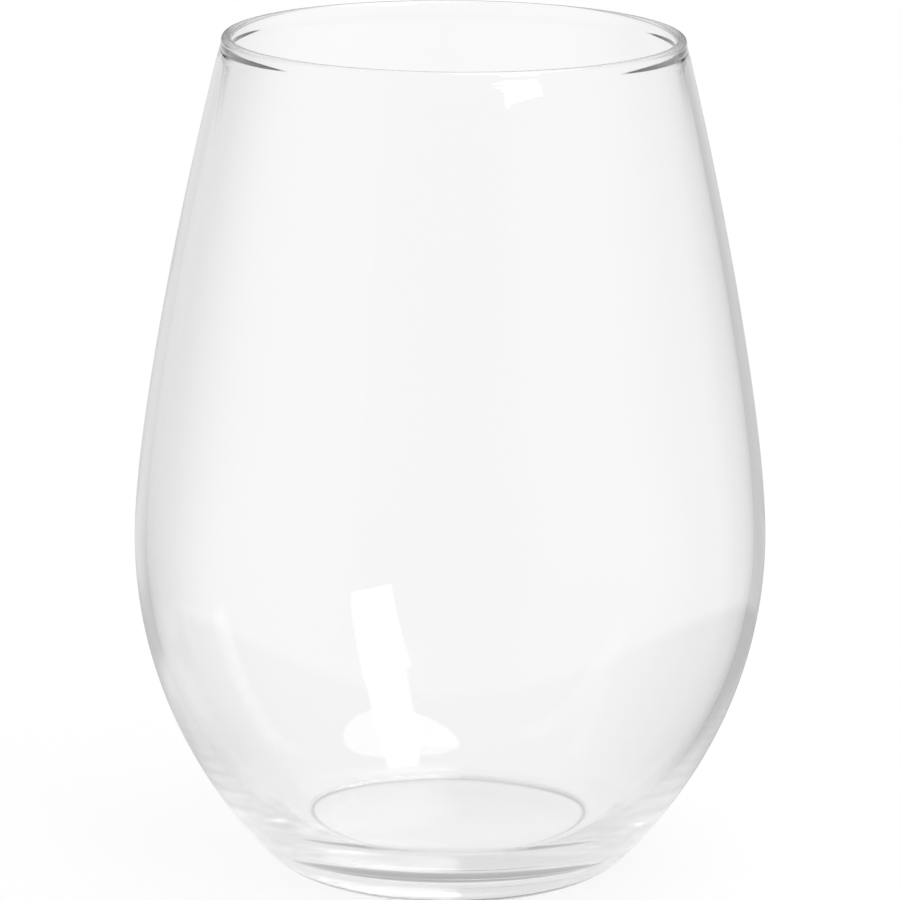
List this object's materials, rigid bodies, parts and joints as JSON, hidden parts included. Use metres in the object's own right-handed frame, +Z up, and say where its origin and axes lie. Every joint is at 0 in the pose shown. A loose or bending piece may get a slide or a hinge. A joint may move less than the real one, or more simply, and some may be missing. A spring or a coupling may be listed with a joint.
{
  "type": "water glass",
  "caption": "Stemless clear water glass: round belly, narrower mouth with a fire-polished rim, and a moulded base that stands on a fine ring round a shallow recess.",
  "frame": {"origin": "middle of the bearing ring that the glass stands on, at the level of the table", "axes": "+Z up along the glass's axis of turning, towards the mouth; X and Y lie level and are alike"},
  "size_m": [0.0886, 0.0886, 0.118],
  "materials": {
    "clear_glass": "clear and polished, with a very faint grey-green tint where the glass is thick"
  },
  "bodies": {
    "root": {"base": "clear_glass", "bowl": "clear_glass", "rim": "clear_glass"}
  },
  "joints": []
}
